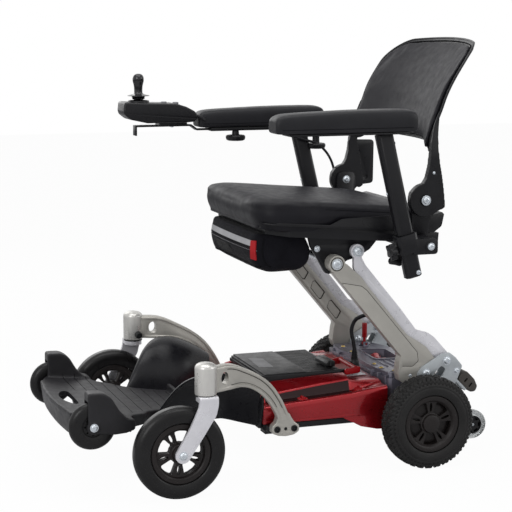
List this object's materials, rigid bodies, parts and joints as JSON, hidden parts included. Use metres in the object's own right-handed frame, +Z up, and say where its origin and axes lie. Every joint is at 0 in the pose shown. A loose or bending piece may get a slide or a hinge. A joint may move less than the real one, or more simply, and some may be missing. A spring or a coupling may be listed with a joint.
{
  "type": "power_wheelchair",
  "caption": "A compact folding power wheelchair with a red base, black seat and back, and a joystick on the right armrest.",
  "frame": {"origin": "middle of the chair's box on the ground", "axes": "+Y to the rear, +X to the rider's left, +Z up"},
  "size_m": [0.627, 0.966, 0.9208],
  "materials": {
    "moulded_black": "fine-grained moulded plastic",
    "tyre_rubber": "matt rubber with a moulded tread",
    "motor_paint": "satin black paint over cast metal",
    "black_frame": "satin black powder coat",
    "black_steel": "satin black powder coat",
    "bright_silver": "satin silver",
    "champagne": "pearl silver paint over a casting",
    "red_cover": "gloss metallic red",
    "red_plastic": "plain red moulded plastic",
    "grey_casting": "grey painted casting",
    "zinc_plate": "bright zinc plate",
    "grey_rubber": "matt grey rubber",
    "clear_wheel": "clear grey polyurethane",
    "black_rubber": "matt black rubber",
    "vinyl": "charcoal coated fabric with a soft sheen",
    "pouch_fabric": "charcoal woven fabric",
    "gloss_black": "polished black",
    "grey_plastic": "grey keypad plastic"
  },
  "bodies": {
    "base": {"base_chassis": "black_frame", "base_cover": "red_cover", "fold_gearbox": "grey_casting", "drive_unit": "motor_paint", "lower_bracket_left": "zinc_plate", "lower_bracket_right": "zinc_plate", "rear_bumper_left": "grey_rubber", "rear_bumper_right": "grey_rubber", "anti_tip_frame": "zinc_plate", "front_arch_left": "champagne", "front_arch_right": "champagne", "leg_guard_left": "moulded_black", "leg_guard_right": "moulded_black", "power_cable": "black_rubber"},
    "battery": {"battery_pack": "moulded_black"},
    "battery_catch": {"battery_latch": "moulded_black"},
    "release_handle": {"battery_release_handle": "red_plastic"},
    "drive_wheel_left": {"drive_rim_left": "moulded_black", "drive_tyre_left": "tyre_rubber"},
    "drive_wheel_right": {"drive_rim_right": "moulded_black", "drive_tyre_right": "tyre_rubber"},
    "fork_left": {"caster_fork_left": "bright_silver"},
    "fork_right": {"caster_fork_right": "bright_silver"},
    "caster_left": {"caster_rim_left": "moulded_black", "caster_tyre_left": "tyre_rubber"},
    "caster_right": {"caster_rim_right": "moulded_black", "caster_tyre_right": "tyre_rubber"},
    "foot_support": {"footplate": "moulded_black"},
    "foot_wheel_left": {"front_wheel_left": "black_rubber"},
    "foot_wheel_right": {"front_wheel_right": "black_rubber"},
    "tail_wheel_left": {"anti_tip_wheel_left": "clear_wheel"},
    "tail_wheel_right": {"anti_tip_wheel_right": "clear_wheel"},
    "lever_left": {"neutral_lever_left": "red_plastic"},
    "lever_right": {"neutral_lever_right": "red_plastic"},
    "lift_frame": {"lift_arm_left": "champagne", "lift_arm_right": "champagne", "lift_cross_shaft": "bright_silver"},
    "rear_links": {"rear_link_left": "bright_silver", "rear_link_right": "bright_silver"},
    "seat": {"seat_frame": "black_frame", "seat_shell": "moulded_black", "seat_cushion": "vinyl", "seat_pouch": "pouch_fabric"},
    "back": {"back_shell": "moulded_black", "back_cushion": "vinyl"},
    "clamp_left": {"armrest_clamp_left": "black_frame"},
    "clamp_right": {"armrest_clamp_right": "black_frame"},
    "knob_left": {"clamp_knob_left": "moulded_black"},
    "knob_right": {"clamp_knob_right": "moulded_black"},
    "armrest_left": {"armrest_post_left": "black_frame", "armrest_pad_left": "vinyl"},
    "armrest_right": {"armrest_post_right": "black_frame", "armrest_pad_right": "vinyl", "control_cable": "black_rubber"},
    "controller": {"controller_bracket": "black_steel", "controller_case": "moulded_black"},
    "gimbal": {"joystick_gimbal": "bright_silver"},
    "stick": {"joystick": "gloss_black"},
    "power_key": {"power_button": "grey_plastic"},
    "horn_key": {"horn_button": "grey_plastic"}
  },
  "joints": [
    {"name": "frame_fold", "type": "hinge", "parent": "base", "child": "lift_frame", "pos_m": [0, 0.309, 0.2], "axis": [-1, 0, 0], "range_deg": [-38, 0], "deforming": ["power_cable"]},
    {"name": "rear_link_swing", "type": "hinge", "parent": "base", "child": "rear_links", "pos_m": [0, 0.3582, 0.2245], "axis": [-1, 0, 0], "range_deg": [-38, 0]},
    {"name": "seat_level", "type": "hinge", "parent": "lift_frame", "child": "seat", "pos_m": [0, 0.0985, 0.45], "axis": [-1, 0, 0], "range_deg": [0, 38]},
    {"name": "back_fold", "type": "hinge", "parent": "seat", "child": "back", "pos_m": [0, 0.288, 0.582], "axis": [1, 0, 0], "range_deg": [0, 75]},
    {"name": "footplate_fold", "type": "hinge", "parent": "base", "child": "foot_support", "pos_m": [0, -0.15, 0.118], "axis": [-1, 0, 0], "range_deg": [0, 85]},
    {"name": "battery_lift", "type": "slide", "parent": "base", "child": "battery", "axis": [0, 0, 1], "range_m": [0, 0.06]},
    {"name": "battery_latch_turn", "type": "hinge", "parent": "battery", "child": "battery_catch", "pos_m": [0.0535, 0.1435, 0.2003], "axis": [-1, 0, 0], "range_deg": [0, 50]},
    {"name": "release_handle_turn", "type": "hinge", "parent": "battery", "child": "release_handle", "pos_m": [0.0665, 0.1605, 0.193], "axis": [1, 0, 0], "range_deg": [0, 80]},
    {"name": "drive_wheel_left_turn", "type": "hinge", "parent": "base", "child": "drive_wheel_left", "pos_m": [0.24, 0.297, 0.1015], "axis": [1, 0, 0], "continuous": true},
    {"name": "caster_left_swivel", "type": "hinge", "parent": "base", "child": "fork_left", "pos_m": [0.286, -0.219, 0.201], "axis": [0, 0, 1], "continuous": true},
    {"name": "caster_left_turn", "type": "hinge", "parent": "fork_left", "child": "caster_left", "pos_m": [0.28, -0.274, 0.096], "axis": [1, 0, 0], "continuous": true},
    {"name": "foot_wheel_left_turn", "type": "hinge", "parent": "foot_support", "child": "foot_wheel_left", "pos_m": [0.198, -0.4335, 0.144], "axis": [1, 0, 0], "continuous": true},
    {"name": "tail_wheel_left_turn", "type": "hinge", "parent": "base", "child": "tail_wheel_left", "pos_m": [0.15, 0.45, 0.06], "axis": [1, 0, 0], "continuous": true},
    {"name": "drive_wheel_right_turn", "type": "hinge", "parent": "base", "child": "drive_wheel_right", "pos_m": [-0.24, 0.297, 0.1015], "axis": [1, 0, 0], "continuous": true},
    {"name": "caster_right_swivel", "type": "hinge", "parent": "base", "child": "fork_right", "pos_m": [-0.286, -0.219, 0.201], "axis": [0, 0, 1], "continuous": true},
    {"name": "caster_right_turn", "type": "hinge", "parent": "fork_right", "child": "caster_right", "pos_m": [-0.28, -0.274, 0.096], "axis": [1, 0, 0], "continuous": true},
    {"name": "foot_wheel_right_turn", "type": "hinge", "parent": "foot_support", "child": "foot_wheel_right", "pos_m": [-0.198, -0.4335, 0.144], "axis": [1, 0, 0], "continuous": true},
    {"name": "tail_wheel_right_turn", "type": "hinge", "parent": "base", "child": "tail_wheel_right", "pos_m": [-0.15, 0.45, 0.06], "axis": [1, 0, 0], "continuous": true},
    {"name": "neutral_lever_left_turn", "type": "hinge", "parent": "base", "child": "lever_left", "pos_m": [0.128, 0.284, 0.2], "axis": [-1, 0, 0], "range_deg": [0, 35]},
    {"name": "neutral_lever_right_turn", "type": "hinge", "parent": "base", "child": "lever_right", "pos_m": [-0.122, 0.303, 0.2], "axis": [-1, 0, 0], "range_deg": [0, 35]},
    {"name": "armrest_width_left", "type": "slide", "parent": "seat", "child": "clamp_left", "axis": [1, 0, 0], "range_m": [0, 0.05]},
    {"name": "armrest_height_left", "type": "slide", "parent": "clamp_left", "child": "armrest_left", "axis": [0, -0.2334, 0.9724], "range_m": [-0.04, 0.03]},
    {"name": "clamp_knob_left_turn", "type": "hinge", "parent": "clamp_left", "child": "knob_left", "pos_m": [0.258, 0.2075, 0.4822], "axis": [0, 0.9724, 0.2334], "range_deg": [0, 90]},
    {"name": "armrest_width_right", "type": "slide", "parent": "seat", "child": "clamp_right", "axis": [-1, 0, 0], "range_m": [0, 0.05]},
    {"name": "armrest_height_right", "type": "slide", "parent": "clamp_right", "child": "armrest_right", "axis": [0, -0.2334, 0.9724], "range_m": [-0.017, 0.053], "deforming": ["control_cable"]},
    {"name": "clamp_knob_right_turn", "type": "hinge", "parent": "clamp_right", "child": "knob_right", "pos_m": [-0.258, 0.2075, 0.4822], "axis": [0, 0.9724, 0.2334], "range_deg": [0, 90]},
    {"name": "controller_reach", "type": "slide", "parent": "armrest_right", "child": "controller", "axis": [0, -1, 0], "range_m": [0, 0.06]},
    {"name": "joystick_side_tilt_ring", "type": "hinge", "parent": "controller", "child": "gimbal", "pos_m": [-0.251, -0.21, 0.764], "axis": [1, 0, 0], "range_deg": [-14, 14], "stiffness_Nm_per_rad": 0.25},
    {"name": "joystick_tilt", "type": "hinge", "parent": "gimbal", "child": "stick", "pos_m": [-0.251, -0.21, 0.764], "axis": [0, 1, 0], "range_deg": [-14, 14], "stiffness_Nm_per_rad": 0.25},
    {"name": "power_key_press", "type": "slide", "parent": "controller", "child": "power_key", "axis": [0, 0, -1], "range_m": [0, 0.0015], "stiffness_N_per_m": 600},
    {"name": "horn_key_press", "type": "slide", "parent": "controller", "child": "horn_key", "axis": [0, 0, -1], "range_m": [0, 0.0015], "stiffness_N_per_m": 600}
  ],
  "couplings": [
    {"joint": "seat_level", "follows": "frame_fold", "ratio": -1},
    {"joint": "rear_link_swing", "follows": "frame_fold", "ratio": 1}
  ]
}
